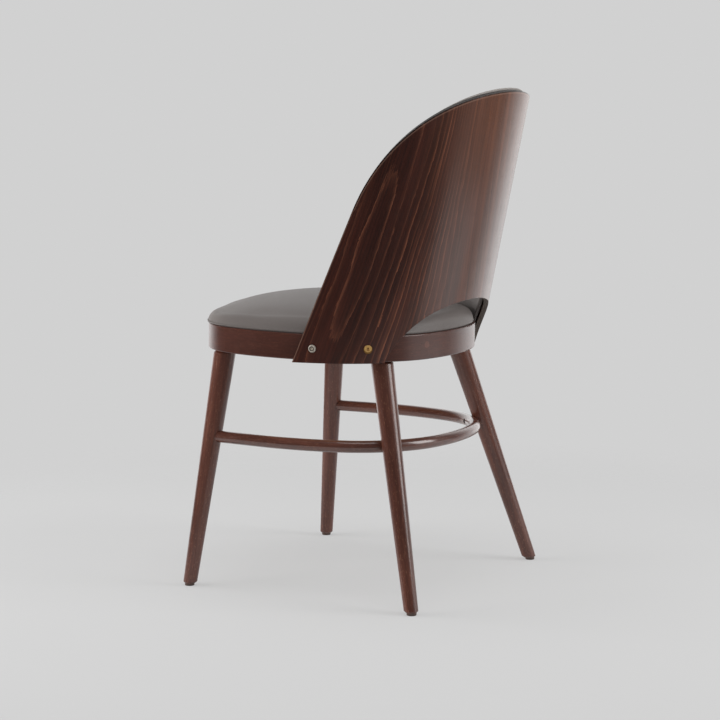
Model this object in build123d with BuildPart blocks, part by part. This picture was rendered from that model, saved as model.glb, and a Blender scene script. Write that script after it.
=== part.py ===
from build123d import *
from math import atan2, cos, degrees, hypot, radians, sin, tan
import os

os.makedirs("parts", exist_ok=True)

# Dining chair with a bent plywood back. Millimetres, +Z up, floor at z = 0, the sitter
# faces -Y and the origin is under the middle of the chair's whole length and width.

# Plan of the seat: every quarter is three tangent arcs (side, corner, end)
side_angle = 16.0
end_angle = 76.0
ring_half_width = 224.0
ring_front_reach = 158.5
ring_rear_reach = 254.5
ring_widest_y = -48.0
seat_middle_y = -50.0
front_corner_radius = 110.0
rear_corner_radius = 170.0

# Seat ring
ring_bottom_z = 395.0
ring_height = 42.5
ring_thickness = 26.0
ring_edge_radius = 2.0
seat_rake_angle = 1.25

# Legs
leg_top_diameter = 37.0
leg_foot_diameter = 23.0
leg_top_chamfer = 4.0
leg_foot_chamfer = 3.0
tenon_diameter = 22.0
tenon_length = 28.0
front_leg_angle = 32.3
front_leg_inset = 19.5
front_leg_splay_x = 44.7
front_leg_splay_y = -46.2
rear_leg_angle = 49.0
rear_leg_inset = 25.5
rear_leg_splay_x = 90.0
rear_leg_splay_y = 103.0
block_length = 92.0
block_depth = 58.0

# Foot glides
glide_diameter = 16.0
glide_height = 4.0
glide_edge_radius = 1.2
glide_pin_diameter = 4.0
glide_pin_length = 14.0

# Stretcher, a round bar bent to a U
stretcher_z = 253.5
stretcher_diameter = 20.0
stretcher_behind_legs = 34.7
stretcher_arm = 100.0
stretcher_toe_angle = 3.3
stretcher_housing = 2.0
stretcher_tenon_diameter = 14.0
stretcher_tenon_past_axis = 5.0
stretcher_screw_angle = 45.0

# Back shell of bent plywood
shell_thickness = 8.5
shell_standoff = 0.5
shell_bottom_z = 391.0
shell_top_z = 826.0
top_half_width = 234.8
top_rear_reach = 279.6
top_widest_y = 34.1
top_corner_radius = 214.0
wing_front_y = 23.5
wing_lean_angle = 23.1
wing_straight_z = 638.0
arch_half_width = 171.0
arch_rise = 135.5
arch_corner_radius = 105.0
arch_base_z = 350.0

# Back upholstery
back_pad_thickness = 10.0
back_pad_proud = 2.5
back_pad_wing_margin = 4.0
back_pad_arch_margin = 4.0
back_pad_front_z = 472.0
back_pad_rear_z = 446.0
back_pad_edge_radius = 6.0

# Seat cushion
cushion_front_overhang = 4.5
cushion_side_inset = 0.5
cushion_corner_radius = 104.0
cushion_edge_height = 15.0
cushion_crown = 37.0
cushion_top_radius = 13.0
cushion_bottom_radius = 4.0
cover_thickness = 1.2
cover_turn_under = 24.0
board_thickness = 9.0
board_inset = 9.0

# Fasteners
shell_screw_z = 414.5
front_screw_angle = 12.6
rear_screw_angle = 36.2
screw_diameter = 6.0
screw_reach = 27.0
screw_head_diameter = 14.0
screw_head_height = 2.4
screw_head_sink = 0.9
screw_socket = 4.0
cup_diameter = 13.0
cup_height = 2.6
cup_hole = 8.4
cup_flank_angle = 22.0
cup_dip = 0.7
cross_length = 4.6
cross_width = 1.1
cross_depth = 1.2
insert_diameter = 10.0
insert_length = 15.0
spacer_diameter = 18.0
wood_screw_diameter = 4.5
wood_screw_head = 8.5
wood_screw_head_height = 3.2
seat_screw_bite = 7.0
stretcher_screw_bite = 12.0

# Clearances
fit = 0.15
glue_line = 0.2
screw_play = 0.3
soft_gap = 0.3


def quarter_arcs(half_width, reach, corner_radius, start_turn=0.0):
    """Side, corner and end arc of a quarter plan as (centre x, centre y, radius, turn from, turn to)."""
    start = radians(start_turn)
    first = radians(side_angle)
    second = radians(end_angle)
    side_x = cos(start) - cos(first)
    side_y = sin(first) - sin(start)
    end_x = cos(second)
    end_y = 1 - sin(second)
    width_left = half_width - corner_radius * (cos(first) - cos(second))
    reach_left = reach - corner_radius * (sin(second) - sin(first))
    scale = side_x * end_y - end_x * side_y
    side_radius = (width_left * end_y - end_x * reach_left) / scale
    end_radius = (side_x * reach_left - side_y * width_left) / scale
    side_centre_x = half_width - side_radius * cos(start)
    side_centre_y = -side_radius * sin(start)
    corner_x = side_centre_x + (side_radius - corner_radius) * cos(first)
    corner_y = side_centre_y + (side_radius - corner_radius) * sin(first)
    return [
        (side_centre_x, side_centre_y, side_radius, start_turn, side_angle),
        (corner_x, corner_y, corner_radius, side_angle, end_angle),
        (0.0, reach - end_radius, end_radius, end_angle, 90.0),
    ]


def arc_point(arc, turn, inset=0.0):
    """Point of an arc where its outward normal has turned by this angle from the side."""
    centre_x, centre_y, radius = arc[:3]
    return (
        centre_x + (radius - inset) * cos(radians(turn)),
        centre_y + (radius - inset) * sin(radians(turn)),
    )


def plan_point(arcs, turn, inset=0.0):
    """Point of a quarter plan at a turn of its normal."""
    arc = next(a for a in arcs if turn <= a[4])
    return arc_point(arc, turn, inset)


def draw_half_plan(arcs, widest_y, way, inset=0.0):
    """Draw the five arcs of the rear (way 1) or front (way -1) half, from +X round to -X."""
    side, corner, end = arcs

    def place(point, mirror_x):
        return (mirror_x * point[0], widest_y + way * point[1])

    def draw(arc, mirror_x, turns):
        ThreePointArc(*(place(arc_point(arc, turn, inset), mirror_x) for turn in turns))

    draw(side, 1, (side[3], (side[3] + side_angle) / 2, side_angle))
    draw(corner, 1, (side_angle, (side_angle + end_angle) / 2, end_angle))
    ThreePointArc(
        place(arc_point(end, end_angle, inset), 1),
        place(arc_point(end, 90.0, inset), 1),
        place(arc_point(end, end_angle, inset), -1),
    )
    draw(corner, -1, (end_angle, (side_angle + end_angle) / 2, side_angle))
    draw(side, -1, (side_angle, (side[3] + side_angle) / 2, side[3]))


def draw_plan(front, rear, widest_y, inset=0.0):
    """Draw a whole closed plan."""
    draw_half_plan(rear, widest_y, 1, inset)
    draw_half_plan(front, widest_y, -1, inset)


ring_front = quarter_arcs(ring_half_width, ring_front_reach, front_corner_radius)
ring_rear = quarter_arcs(ring_half_width, ring_rear_reach, rear_corner_radius)

# The seat plane is the underside of the ring, raked back about the X axis
seat_normal = Vector(0, sin(radians(seat_rake_angle)), cos(radians(seat_rake_angle)))
seat_plane = Plane(origin=(0, seat_middle_y, ring_bottom_z), x_dir=(1, 0, 0), z_dir=seat_normal)


class Leg:
    """Axis of one leg, from its seat under the ring to its foot on the floor."""

    def __init__(self, name, side, way):
        self.name = name
        self.side = side
        self.way = way
        self.is_front = way < 0
        self.arcs = ring_front if self.is_front else ring_rear
        self.turn = front_leg_angle if self.is_front else rear_leg_angle
        inset = front_leg_inset if self.is_front else rear_leg_inset
        splay_x = front_leg_splay_x if self.is_front else rear_leg_splay_x
        splay_y = front_leg_splay_y if self.is_front else rear_leg_splay_y
        self.seat = self.on_ring(inset)
        self.top = seat_plane.from_local_coords(Vector(*self.seat, 0))
        self.foot = Vector(self.top.X + side * splay_x, self.top.Y + splay_y, 0)
        self.direction = (self.top - self.foot).normalized()
        self.length = (self.top - self.foot).length

    def on_ring(self, inset):
        """Place on the seat plane behind the leg's spot on the ring's outer face."""
        x, y = plan_point(self.arcs, self.turn, inset)
        return (self.side * x, ring_widest_y + self.way * y)

    def at_height(self, z):
        """Point of the axis at a height over the floor."""
        return self.foot + self.direction * (z / self.direction.Z)

    def radius_at(self, along):
        """Radius of the tapered leg this far up its axis."""
        return (leg_foot_diameter + (leg_top_diameter - leg_foot_diameter) * along / self.length) / 2

    def cone(self, extra=0.0):
        """The leg's taper, run past both its ends, with extra room all round."""
        across = self.direction.cross(Vector(0, 0, 1)).normalized()
        lathe_plane = Plane(origin=self.foot, x_dir=across, z_dir=across.cross(self.direction))
        run_out = leg_top_diameter
        with BuildPart() as turned:
            with BuildSketch(lathe_plane):
                with BuildLine():
                    Polyline(
                        (0, -run_out),
                        (self.radius_at(-run_out) + extra, -run_out),
                        (self.radius_at(self.length + run_out) + extra, self.length + run_out),
                        (0, self.length + run_out),
                        close=True,
                    )
                make_face()
            revolve(axis=Axis(self.foot, self.direction))
        return turned.part


legs = [
    Leg("front_left_leg", 1, -1),
    Leg("front_right_leg", -1, -1),
    Leg("rear_left_leg", 1, 1),
    Leg("rear_right_leg", -1, 1),
]


def save(part, label):
    """Label a finished piece and write it."""
    part.label = label
    export_step(part, f"parts/{label}.step")


def drill(start, direction, diameter, depth):
    """Cut a round hole into the part being built."""
    with BuildSketch(Plane(origin=start, z_dir=direction)) as bore:
        Circle(diameter / 2)
    extrude(bore.sketch, amount=depth, mode=Mode.SUBTRACT)


# Shell geometry: the outer face is ruled between a curve round the ring and a larger one at the top
base_arcs = ring_rear
base_y = seat_middle_y + ring_widest_y
crest_arcs = quarter_arcs(top_half_width, top_rear_reach, top_corner_radius)
crest_y = seat_middle_y + top_widest_y
shell_offset = shell_standoff + shell_thickness


def shell_point(turn, z, side=1):
    """Point of the shell's outer face at a turn of its plan normal and a height, and the normal there."""
    low = plan_point(base_arcs, turn, -shell_offset)
    high = plan_point(crest_arcs, turn)
    low = Vector(low[0], low[1] + base_y, shell_bottom_z)
    high = Vector(high[0], high[1] + crest_y, shell_top_z)
    point = low + (high - low) * ((z - shell_bottom_z) / (shell_top_z - shell_bottom_z))
    along = Vector(-sin(radians(turn)), cos(radians(turn)), 0)
    normal = along.cross(high - low).normalized()
    return Vector(side * point.X, point.Y, point.Z), Vector(side * normal.X, normal.Y, normal.Z)


def wrap_faces(wing_margin, top_margin, arch_margin, lowest):
    """Curved outer faces of the back, trimmed by margins inside the shell's wings, top and arch.

    lowest is the pair of heights of the lower edge, at the wing's front and at the rear.
    """
    lean = radians(wing_lean_angle)
    rise = shell_top_z - shell_bottom_z
    block_z = shell_top_z + rise / 10
    share = (block_z - shell_bottom_z) / rise
    top_rear = shell_point(90.0, shell_top_z)[0]
    front_y = seat_middle_y + wing_front_y
    straight_start = (front_y + wing_margin / cos(lean), shell_bottom_z)
    straight_end = (
        front_y + (wing_straight_z - shell_bottom_z) * tan(lean) + wing_margin * cos(lean),
        wing_straight_z - wing_margin * sin(lean),
    )
    chord = Vector(top_rear.Y - straight_end[0], top_rear.Z - top_margin - straight_end[1])
    forward = chord.X * sin(lean) + chord.Y * cos(lean)
    sideways = chord.X * cos(lean) - chord.Y * sin(lean)
    rim_radius = (forward**2 + sideways**2) / (2 * sideways)
    rim_turn = degrees(2 * atan2(sideways, forward))
    run_out = top_half_width
    with BuildPart() as block:
        with BuildSketch(Plane.XY.offset(shell_bottom_z)):
            with BuildLine():
                draw_half_plan(base_arcs, base_y, 1, -shell_offset)
                half = ring_half_width + shell_offset
                Line((-half, base_y), (half, base_y))
            make_face()
        with BuildSketch(Plane.XY.offset(block_z)):
            with BuildLine():
                block_arcs = [extend_arc(low, high, share) for low, high in zip(base_arcs, crest_arcs)]
                block_y = base_y + (crest_y - base_y) * share
                draw_half_plan(block_arcs, block_y, 1)
                half = arc_point(block_arcs[0], 0.0)[0]
                Line((-half, block_y), (half, block_y))
            make_face()
        loft(ruled=True)
        with BuildSketch(Plane.YZ):
            with BuildLine():
                edge = Line(straight_start, straight_end)
                rim = JernArc(edge @ 1, edge % 1, rim_radius, -rim_turn - side_angle)
                rim_end = rim @ 1
                past_back = max(rim_end.X, top_rear.Y) + run_out
                Polyline(rim_end, (past_back, rim_end.Y), (past_back, shell_bottom_z), straight_start)
            make_face()
        extrude(amount=run_out * 2, both=True, mode=Mode.INTERSECT)
        with BuildSketch(Plane.YZ):
            with BuildLine():
                Polyline(
                    (front_y - run_out, arch_base_z),
                    (front_y - run_out, lowest[0]),
                    (front_y, lowest[0]),
                    (base_y + ring_rear_reach, lowest[1]),
                    (run_out * 2, lowest[1]),
                    (run_out * 2, arch_base_z),
                    close=True,
                )
            make_face()
        extrude(amount=run_out * 2, both=True, mode=Mode.SUBTRACT)
        behind = Plane(origin=(0, front_y, 0), x_dir=(-1, 0, 0), z_dir=(0, 1, 0))
        with BuildSketch(behind):
            with BuildLine():
                arch = quarter_arcs(arch_half_width, arch_rise, arch_corner_radius)
                draw_half_plan(arch, arch_base_z, 1, -arch_margin)
                half = arch_half_width + arch_margin
                Line((-half, arch_base_z), (half, arch_base_z))
            make_face()
        extrude(amount=run_out * 2, mode=Mode.SUBTRACT)
    return block.part.faces().filter_by(GeomType.BSPLINE)


def extend_arc(low, high, share):
    """Arc of the ruled face above the crest: the line from the low to the high arc, run on."""
    low_radius = low[2] + shell_offset
    return (
        low[0] + (high[0] - low[0]) * share,
        low[1] + (high[1] - low[1]) * share,
        low_radius + (high[2] - low_radius) * share,
        low[3],
        low[4],
    )


# Shell screws: the two wings each have one near the front and one near the arch
class ShellScrew:
    """Axis of one screw through the shell into the ring, normal to the shell's outer face."""

    def __init__(self, turn, side):
        self.head, self.normal = shell_point(turn, shell_screw_z, side)
        self.seat = self.head - self.normal * screw_head_sink
        self.plane = Plane(origin=self.head, z_dir=self.normal)
        arc = next(a for a in ring_rear if turn <= a[4])
        centre = Vector(side * arc[0], ring_widest_y + arc[1])
        start = seat_plane.to_local_coords(self.head) - centre
        way = seat_plane.to_local_coords(self.head - self.normal) - centre - start
        square = way.X**2 + way.Y**2
        half = start.X * way.X + start.Y * way.Y
        rest = start.X**2 + start.Y**2 - arc[2] ** 2
        self.to_ring = (-half - (half**2 - square * rest) ** 0.5) / square


front_screws = [ShellScrew(front_screw_angle, side) for side in (1, -1)]
rear_screws = [ShellScrew(rear_screw_angle, side) for side in (1, -1)]


def shell_solid():
    """The bent sheet, its edges square to its faces, with its screw holes."""
    with BuildPart() as sheet:
        thicken(wrap_faces(0, 0, 0, (shell_bottom_z, shell_bottom_z)), amount=-shell_thickness)
        for screw in front_screws + rear_screws:
            outside = screw.head + screw.normal * shell_thickness
            drill(outside, -screw.normal, screw_diameter + 2 * screw_play, shell_thickness * 3)
        for screw in front_screws:
            drill(screw.seat, screw.normal, cup_diameter + 2 * screw_play, shell_thickness)
        for screw in rear_screws:
            drill(screw.seat, screw.normal, screw_head_diameter + 2 * screw_play, shell_thickness)
    return sheet.part


with BuildPart() as back_shell:
    add(shell_solid())
save(back_shell.part, "back_shell")

# Seat ring
with BuildPart() as seat_ring:
    with BuildSketch(seat_plane):
        with BuildLine():
            draw_plan(ring_front, ring_rear, ring_widest_y)
        make_face()
    extrude(amount=ring_height)
    flats = seat_ring.faces().filter_by(seat_plane)
    fillet(flats.edges(), ring_edge_radius)
    with BuildSketch(seat_plane):
        with BuildLine():
            draw_plan(ring_front, ring_rear, ring_widest_y, ring_thickness)
        make_face()
    extrude(amount=ring_height, mode=Mode.SUBTRACT)
    for leg in legs:
        under = leg.top - leg.direction * leg_top_diameter
        drill(under, leg.direction, tenon_diameter + 2 * fit, leg_top_diameter + tenon_length + fit)
    for screw in front_screws + rear_screws:
        depth = screw.to_ring + insert_length + screw_play
        drill(screw.head, -screw.normal, insert_diameter + 2 * fit, depth)
        drill(screw.head, -screw.normal, screw_diameter + 2 * screw_play, screw_reach + screw_play)
save(seat_ring.part, "seat_ring")

# Leg blocks glued inside the ring
block_screws = {}
for leg in legs:
    middle = leg.on_ring(ring_thickness + block_depth / 4)
    inner = leg.on_ring(ring_thickness + block_depth * 3 / 4)
    spot = seat_plane.from_local_coords(Vector(*inner, 0))
    block_screws[leg.name] = spot
    outward = Vector(middle[0] - inner[0], middle[1] - inner[1])
    heading = degrees(atan2(outward.Y, outward.X))
    with BuildPart() as leg_block:
        with BuildSketch(seat_plane):
            with BuildLine():
                draw_plan(ring_front, ring_rear, ring_widest_y, ring_thickness + glue_line)
            make_face()
            with Locations(Location((*middle, 0), (0, 0, heading))):
                Rectangle(block_depth * 3 / 2, block_length, mode=Mode.INTERSECT)
        extrude(amount=ring_height)
        under = leg.top - leg.direction * leg_top_diameter
        drill(under, leg.direction, tenon_diameter + 2 * fit, leg_top_diameter + tenon_length + fit)
        drill(spot, seat_normal, wood_screw_diameter + 2 * fit, ring_height * 2)
        drill(spot, seat_normal, wood_screw_head + 2 * screw_play, wood_screw_head_height + screw_play)
    save(leg_block.part, leg.name.replace("leg", "block"))

# Stretcher path: straight arms from the front legs, then a bow round the rear legs
arm_start = legs[0].at_height(stretcher_z)
arm_way = Vector(sin(radians(stretcher_toe_angle)), cos(radians(stretcher_toe_angle)), 0)
bow_start = arm_start + arm_way * stretcher_arm
rear_leg = legs[2]
leg_axis = rear_leg.at_height(stretcher_z)
bow_reach = leg_axis.Y + stretcher_behind_legs - bow_start.Y
leg_radius = rear_leg.radius_at(stretcher_z / rear_leg.direction.Z)
leg_clear = (leg_radius + stretcher_diameter / 2 - stretcher_housing) / rear_leg.direction.Z


def bow_arcs(corner_radius):
    """The bow's quarter with this radius at its corners."""
    return quarter_arcs(bow_start.X, bow_reach, corner_radius, start_turn=-stretcher_toe_angle)


def bow_clear(corner_radius):
    """How far inside the rear leg's axis the bar's own axis then runs, level with the floor."""
    corner = bow_arcs(corner_radius)[1]
    return hypot(leg_axis.X - corner[0], leg_axis.Y - bow_start.Y - corner[1]) - corner_radius


# Halve the span of corner radii until the bar sits in the leg to its housing's depth
tight, wide = leg_top_diameter, bow_start.X + bow_reach
for step in range(50):
    middle = (tight + wide) / 2
    tight, wide = (middle, wide) if bow_clear(middle) < leg_clear else (tight, middle)
bow = bow_arcs((tight + wide) / 2)


def bent_bar(diameter):
    """The bar swept along its bow, from one front leg's axis to the other's."""
    level = Plane.XY.offset(stretcher_z)
    with BuildPart() as bar:
        with BuildLine(level) as path:
            Line((arm_start.X, arm_start.Y), (bow_start.X, bow_start.Y))
            draw_half_plan(bow, bow_start.Y, 1)
            Line((-bow_start.X, bow_start.Y), (-arm_start.X, arm_start.Y))
        with BuildSketch(Plane(origin=(arm_start.X, arm_start.Y, stretcher_z), z_dir=arm_way)):
            Circle(diameter / 2)
        sweep(path=path.wire())
    return bar.part


class StretcherScrew:
    """Axis of a screw from inside the bow into a rear leg."""

    def __init__(self, side):
        x, y = plan_point(bow, stretcher_screw_angle)
        way = radians(stretcher_screw_angle)
        self.out = Vector(side * cos(way), sin(way), 0)
        self.middle = Vector(side * x, bow_start.Y + y, stretcher_z)
        self.entry = self.middle - self.out * (stretcher_diameter / 2 + screw_play)
        self.seat = self.middle - self.out * (stretcher_diameter / 4)
        self.tip = self.middle + self.out * (stretcher_diameter / 2 + stretcher_screw_bite)


stretcher_screws_at = [StretcherScrew(side) for side in (1, -1)]
far_start = Vector(-arm_start.X, arm_start.Y, arm_start.Z)
arm_ends = [(arm_start, arm_way), (far_start, Vector(-arm_way.X, arm_way.Y, 0))]

with BuildPart() as stretcher:
    add(bent_bar(stretcher_diameter))
    for leg in legs[:2]:
        add(leg.cone(fit), mode=Mode.SUBTRACT)
    for start, way in arm_ends:
        with BuildSketch(Plane(origin=start - way * stretcher_tenon_past_axis, z_dir=way)):
            Circle(stretcher_tenon_diameter / 2)
        extrude(amount=stretcher_tenon_past_axis + leg_top_diameter)
    for screw in stretcher_screws_at:
        depth = (screw.seat - screw.entry).length
        drill(screw.entry, screw.out, wood_screw_head + 2 * screw_play, depth)
        drill(screw.entry, screw.out, wood_screw_diameter + 2 * fit, stretcher_diameter * 2)
save(stretcher.part, "stretcher")

# Legs
bar_room = bent_bar(stretcher_diameter + 2 * fit)
for leg in legs:
    with BuildPart() as turned_leg:
        add(leg.cone())
        split(bisect_by=seat_plane, keep=Keep.BOTTOM)
        split(bisect_by=Plane.XY.offset(glide_height), keep=Keep.TOP)
        chamfer(turned_leg.edges().sort_by(Axis.Z)[-1], leg_top_chamfer)
        chamfer(turned_leg.edges().sort_by(Axis.Z)[0], leg_foot_chamfer)
        under = leg.top - leg.direction * leg_top_diameter
        with BuildSketch(Plane(origin=under, z_dir=leg.direction)):
            Circle(tenon_diameter / 2)
        extrude(amount=leg_top_diameter + tenon_length)
        if leg.is_front:
            start, way = arm_ends[legs.index(leg)]
            depth = stretcher_tenon_past_axis + fit
            drill(start - way * depth, way, stretcher_tenon_diameter + 2 * fit, depth + leg_top_diameter)
        else:
            add(bar_room, mode=Mode.SUBTRACT)
            screw = stretcher_screws_at[legs.index(leg) - 2]
            reach = (screw.tip - screw.middle).length + screw_play
            drill(screw.middle, screw.out, wood_screw_diameter + 2 * fit, reach)
        pin_depth = glide_height * 2 + glide_pin_length
        drill(leg.at_height(0), Vector(0, 0, 1), glide_pin_diameter + 2 * fit, pin_depth)
    save(turned_leg.part, leg.name)
    at = leg.at_height(0)
    with BuildPart() as glide:
        with BuildSketch(Plane(origin=at)):
            Circle(glide_diameter / 2)
        extrude(amount=glide_height)
        fillet(glide.edges().sort_by(Axis.Z)[0], glide_edge_radius)
        with BuildSketch(Plane(origin=at)):
            Circle(glide_pin_diameter / 2)
        extrude(amount=glide_height + glide_pin_length)
    save(glide.part, leg.name.replace("leg", "glide"))

# Screws of the stretcher
with BuildPart() as stretcher_screws:
    for screw in stretcher_screws_at:
        with BuildSketch(Plane(origin=screw.seat - screw.out * wood_screw_head_height, z_dir=screw.out)):
            Circle(wood_screw_head / 2)
        extrude(amount=wood_screw_head_height)
        with BuildSketch(Plane(origin=screw.seat, z_dir=screw.out)):
            Circle(wood_screw_diameter / 2)
        extrude(amount=(screw.tip - screw.seat).length)
save(stretcher_screws.part, "stretcher_screws")

# Seat cushion
cushion_front_reach = ring_front_reach + cushion_front_overhang
cushion_front = quarter_arcs(ring_half_width, cushion_front_reach, cushion_corner_radius)
cushion_crest = cushion_edge_height + cushion_crown
cushion_corners = [
    hypot(x, ring_widest_y + way * y)
    for arcs, way in ((cushion_front, -1), (ring_rear, 1))
    for x, y in (plan_point(arcs, turn) for turn in range(91))
]
dome_radius = (max(cushion_corners) ** 2 + cushion_crown**2) / (2 * cushion_crown)


def cushion_solid(inset):
    """The crowned cushion over the ring, drawn in all round by a distance."""
    floor_height = ring_height + inset
    dome_top = ring_height + cushion_crest - inset
    with BuildPart() as cushion:
        with BuildSketch(seat_plane.offset(floor_height)):
            with BuildLine():
                draw_plan(cushion_front, ring_rear, ring_widest_y, cushion_side_inset + inset)
            make_face()
        extrude(amount=cushion_crest * 2)
        centre = seat_plane.from_local_coords(Vector(0, 0, dome_top - dome_radius))
        with Locations(centre):
            Sphere(dome_radius, mode=Mode.INTERSECT)
        crown_face = cushion.faces().filter_by(GeomType.SPHERE)
        fillet(crown_face.edges(), cushion_top_radius - inset)
        base_face = cushion.faces().filter_by(seat_plane)
        fillet(base_face.edges(), cushion_bottom_radius - inset)
    return cushion.part


def seat_slab(bottom, thickness, inset):
    """A flat layer of the seat with the cushion's outline drawn in by a distance."""
    with BuildPart() as slab:
        with BuildSketch(seat_plane.offset(bottom)):
            with BuildLine():
                draw_plan(cushion_front, ring_rear, ring_widest_y, inset)
            make_face()
        extrude(amount=thickness)
    return slab.part


board_bottom = ring_height + cover_thickness
with BuildPart() as seat_board:
    add(seat_slab(board_bottom, board_thickness, board_inset))
    for spot in block_screws.values():
        drill(spot, seat_normal, wood_screw_diameter + 2 * fit, board_bottom + seat_screw_bite + screw_play)
save(seat_board.part, "seat_board")

with BuildPart() as seat_foam:
    add(cushion_solid(cover_thickness + soft_gap))
    add(seat_slab(0, board_bottom + board_thickness + soft_gap, board_inset - soft_gap), mode=Mode.SUBTRACT)
save(seat_foam.part, "seat_foam")

with BuildPart() as seat_cover:
    add(cushion_solid(0.0))
    add(cushion_solid(cover_thickness), mode=Mode.SUBTRACT)
    add(seat_slab(0, board_bottom, cover_turn_under), mode=Mode.SUBTRACT)
save(seat_cover.part, "seat_cover")

with BuildPart() as seat_screws:
    for spot in block_screws.values():
        with BuildSketch(Plane(origin=spot, z_dir=seat_normal)):
            Circle(wood_screw_head / 2)
        extrude(amount=wood_screw_head_height)
        with BuildSketch(Plane(origin=spot, z_dir=seat_normal)):
            Circle(wood_screw_diameter / 2)
        extrude(amount=board_bottom + seat_screw_bite)
save(seat_screws.part, "seat_screws")

# Back upholstery, standing a little proud of the shell's rim
def back_pad(skin):
    """The pad on the shell's inner face, drawn in from its open sides by a distance."""
    lowest = (back_pad_front_z + skin, back_pad_rear_z + skin)
    outer = wrap_faces(
        skin + back_pad_wing_margin, skin - back_pad_proud, skin + back_pad_arch_margin, lowest
    )
    with BuildPart() as carrier:
        thicken(outer, amount=-shell_thickness - soft_gap)
    backing = carrier.faces().filter_by(GeomType.OFFSET)
    with BuildPart() as pad:
        thicken(backing, amount=back_pad_thickness - skin)
        faces = pad.faces().filter_by(GeomType.OFFSET)
        front = faces.filter_by(
            lambda face: min((face.center() - other.center()).length for other in backing)
            > back_pad_thickness / 2
        )
        rim = front.edges() & pad.faces().filter_by(GeomType.BSPLINE).edges()
        fillet(rim, back_pad_edge_radius - skin)
    return pad.part


with BuildPart() as back_foam:
    add(back_pad(cover_thickness + soft_gap))
save(back_foam.part, "back_foam")

with BuildPart() as back_cover:
    add(back_pad(0.0))
    add(back_pad(cover_thickness), mode=Mode.SUBTRACT)
save(back_cover.part, "back_cover")

# Fasteners of the shell
with BuildPart() as rear_shell_screws:
    for screw in rear_screws:
        with BuildSketch(screw.plane.offset(-screw_head_sink)):
            Circle(screw_head_diameter / 2)
        extrude(amount=screw_head_height)
        with BuildSketch(screw.plane.offset(screw_head_height - screw_head_sink)):
            RegularPolygon(screw_socket / 2, 6, major_radius=False)
        extrude(amount=-screw_head_height * 2 / 3, mode=Mode.SUBTRACT)
        with BuildSketch(screw.plane.offset(-screw_head_sink)):
            Circle(screw_diameter / 2)
        extrude(amount=screw_head_sink - screw_reach)
save(rear_shell_screws.part, "rear_shell_screws")

with BuildPart() as front_shell_screws:
    for screw in front_screws:
        head_face = screw.plane.offset(cup_height - screw_head_sink - cup_dip)
        with BuildSketch(head_face):
            Circle(cup_hole / 2 - fit)
        extrude(amount=cup_dip - cup_height)
        with BuildSketch(head_face):
            Rectangle(cross_length, cross_width)
            Rectangle(cross_width, cross_length)
        extrude(amount=-cross_depth, mode=Mode.SUBTRACT)
        with BuildSketch(screw.plane):
            Circle(screw_diameter / 2)
        extrude(amount=-screw_reach)
save(front_shell_screws.part, "front_shell_screws")

with BuildPart() as front_screw_cups:
    for screw in front_screws:
        with BuildSketch(screw.plane.offset(-screw_head_sink)):
            Circle(cup_diameter / 2)
        extrude(amount=cup_height, taper=cup_flank_angle)
        drill(screw.seat, screw.normal, cup_hole, cup_height * 2)
save(front_screw_cups.part, "front_screw_cups")

with BuildPart() as rear_shell_spacers:
    for screw in rear_screws:
        with BuildSketch(screw.plane.offset(-shell_thickness / 2)):
            Circle(spacer_diameter / 2)
        extrude(amount=-shell_thickness)
    for screw in rear_screws:
        drill(screw.head, -screw.normal, insert_diameter + 2 * fit, screw_reach)
    add(back_shell.part, mode=Mode.SUBTRACT)
    add(seat_ring.part, mode=Mode.SUBTRACT)
save(rear_shell_spacers.part, "rear_shell_spacers")

with BuildPart() as shell_inserts:
    for screw in front_screws + rear_screws:
        with BuildSketch(screw.plane.offset(-screw.to_ring - screw_play)):
            Circle(insert_diameter / 2)
            Circle(screw_diameter / 2 + fit, mode=Mode.SUBTRACT)
        extrude(amount=-insert_length)
save(shell_inserts.part, "shell_inserts")
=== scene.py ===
import bmesh
import bpy
import numpy as np
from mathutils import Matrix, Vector


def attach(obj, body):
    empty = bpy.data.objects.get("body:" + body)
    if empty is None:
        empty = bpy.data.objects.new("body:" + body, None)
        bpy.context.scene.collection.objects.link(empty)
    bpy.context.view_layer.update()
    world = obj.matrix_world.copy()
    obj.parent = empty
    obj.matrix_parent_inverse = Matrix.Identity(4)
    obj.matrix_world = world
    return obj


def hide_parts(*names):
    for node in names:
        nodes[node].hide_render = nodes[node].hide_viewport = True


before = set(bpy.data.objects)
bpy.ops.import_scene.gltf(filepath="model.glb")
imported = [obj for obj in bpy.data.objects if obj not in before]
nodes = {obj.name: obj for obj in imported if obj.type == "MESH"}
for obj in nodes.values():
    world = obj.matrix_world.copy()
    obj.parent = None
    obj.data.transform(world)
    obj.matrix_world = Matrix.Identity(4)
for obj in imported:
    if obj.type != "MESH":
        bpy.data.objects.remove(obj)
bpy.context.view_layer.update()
scene = bpy.context.scene
scene.view_settings.view_transform = "Standard"
print("frame loaded with", len(nodes), "nodes")


# camera and lamps

camera = {
    "at": (2.9787, 1.6294, 0.8006),
    "yaw": -2.634104,
    "pitch": -0.125798,
    "lens": 100.116,
    "sensor": 36.0,
}
lamps = {  # where each stands, what it points at, width and height, watts, seen by shiny surfaces
    "overheadSoftbox": ((0.2, 0.1, 2.6), (0, 0, 0.4), (1.3, 1.3), 16.5, True),
    "nearSoftbox": ((1.3, -2.3, 0.75), (0, 0, 0.45), (2.4, 1.3), 74.0, False),
    "farSoftbox": ((-0.7, 2.6, 1.7), (0, 0, 0.55), (1.4, 1.8), 46.0, True),
    "lowCard": ((-0.45, 1.20, 0.12), (0.05, 0.2, 0.6), (1.0, 0.35), 1.1, True),
}


def facingAlong(direction):
    # turn of a camera or lamp that looks along a direction
    return direction.to_track_quat("-Z", "Y").to_euler()


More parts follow.
